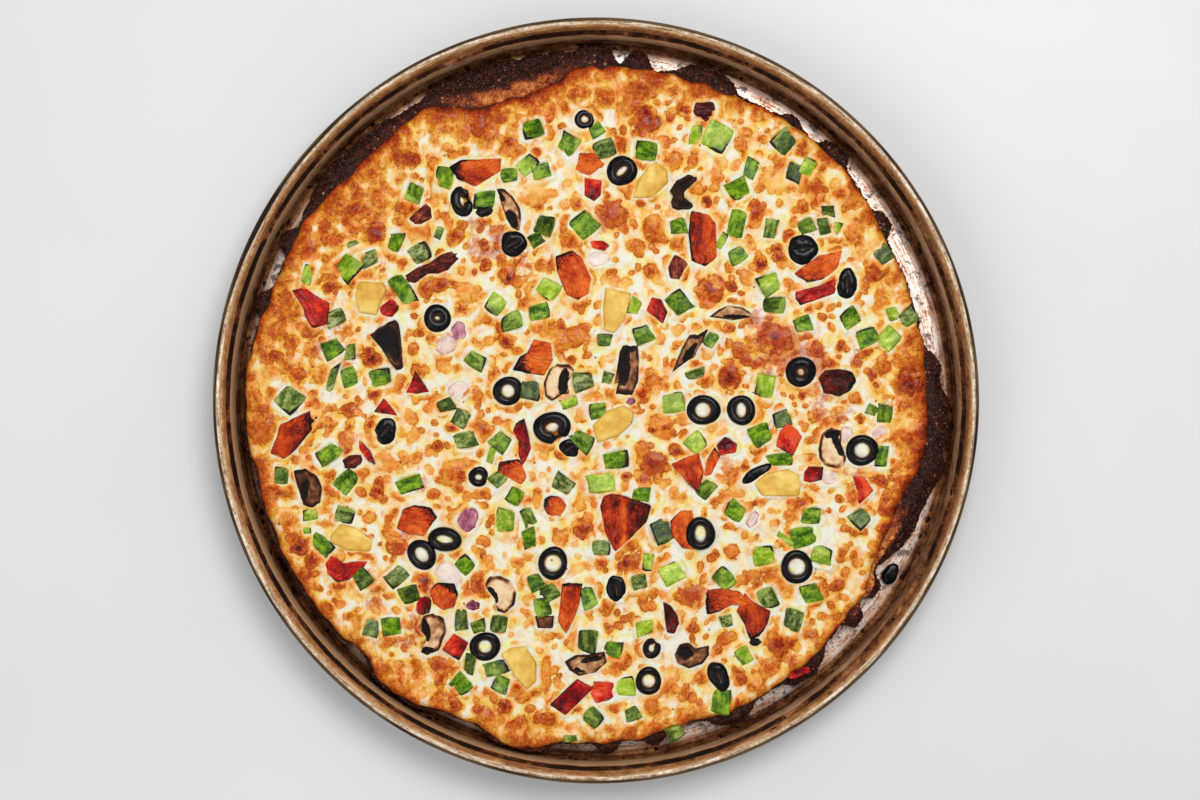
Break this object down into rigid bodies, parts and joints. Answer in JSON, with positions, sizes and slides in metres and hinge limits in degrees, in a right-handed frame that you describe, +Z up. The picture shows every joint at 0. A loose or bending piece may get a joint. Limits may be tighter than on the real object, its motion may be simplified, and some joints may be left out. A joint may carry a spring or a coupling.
{
  "type": "deep dish pizza in its pan",
  "caption": "Baked deep dish vegetable pizza lying in the round, shallow steel pan with a rolled rim that it was baked in.",
  "frame": {"origin": "middle of the pan's underside, on the surface that it stands on", "axes": "+Z up out of the pan, +X to the right and +Y away, with the pizza seen from above"},
  "size_m": [0.396, 0.396, 0.0394],
  "materials": {
    "pan_steel": "brown baked-on patina over tinned steel, shiny where worn",
    "baked_dough": "dry, dark brown and crumbly, pale tan where the dough is bare",
    "melted_cheese": "oily melted cheese, cream with orange-brown blisters",
    "black_olive": "smooth, wet black",
    "roast_tomato": "wrinkled and moist, charred at the edges",
    "red_pepper": "glossy skin with charred edges",
    "roast_mushroom": "soft, brown rim with a tan inside",
    "pineapple": "moist and fibrous"
  },
  "bodies": {
    "root": {"cheese": "melted_cheese", "crust": "baked_dough", "mushroom_01": "roast_mushroom", "mushroom_02": "roast_mushroom", "mushroom_03": "roast_mushroom", "mushroom_04": "roast_mushroom", "mushroom_05": "roast_mushroom", "mushroom_06": "roast_mushroom", "mushroom_07": "roast_mushroom", "mushroom_08": "roast_mushroom", "mushroom_09": "roast_mushroom", "mushroom_10": "roast_mushroom", "mushroom_11": "roast_mushroom", "olive_01": "black_olive", "olive_02": "black_olive", "olive_03": "black_olive", "olive_04": "black_olive", "olive_05": "black_olive", "olive_06": "black_olive", "olive_07": "black_olive", "olive_08": "black_olive", "olive_09": "black_olive", "olive_10": "black_olive", "olive_11": "black_olive", "olive_12": "black_olive", "olive_13": "black_olive", "olive_14": "black_olive", "olive_15": "black_olive", "olive_16": "black_olive", "olive_17": "black_olive", "olive_18": "black_olive", "pan": "pan_steel", "pepper_1": "red_pepper", "pepper_2": "red_pepper", "pepper_3": "red_pepper", "pepper_4": "red_pepper", "pepper_5": "red_pepper", "pepper_6": "red_pepper", "pineapple_1": "pineapple", "pineapple_2": "pineapple", "pineapple_3": "pineapple", "pineapple_4": "pineapple", "pineapple_5": "pineapple", "pineapple_6": "pineapple", "pineapple_7": "pineapple", "tomato_01": "roast_tomato", "tomato_02": "roast_tomato", "tomato_03": "roast_tomato", "tomato_04": "roast_tomato", "tomato_05": "roast_tomato", "tomato_06": "roast_tomato", "tomato_07": "roast_tomato", "tomato_08": "roast_tomato", "tomato_09": "roast_tomato", "tomato_10": "roast_tomato", "tomato_11": "roast_tomato", "tomato_12": "roast_tomato", "tomato_13": "roast_tomato", "tomato_14": "roast_tomato", "tomato_15": "roast_tomato"}
  },
  "joints": []
}
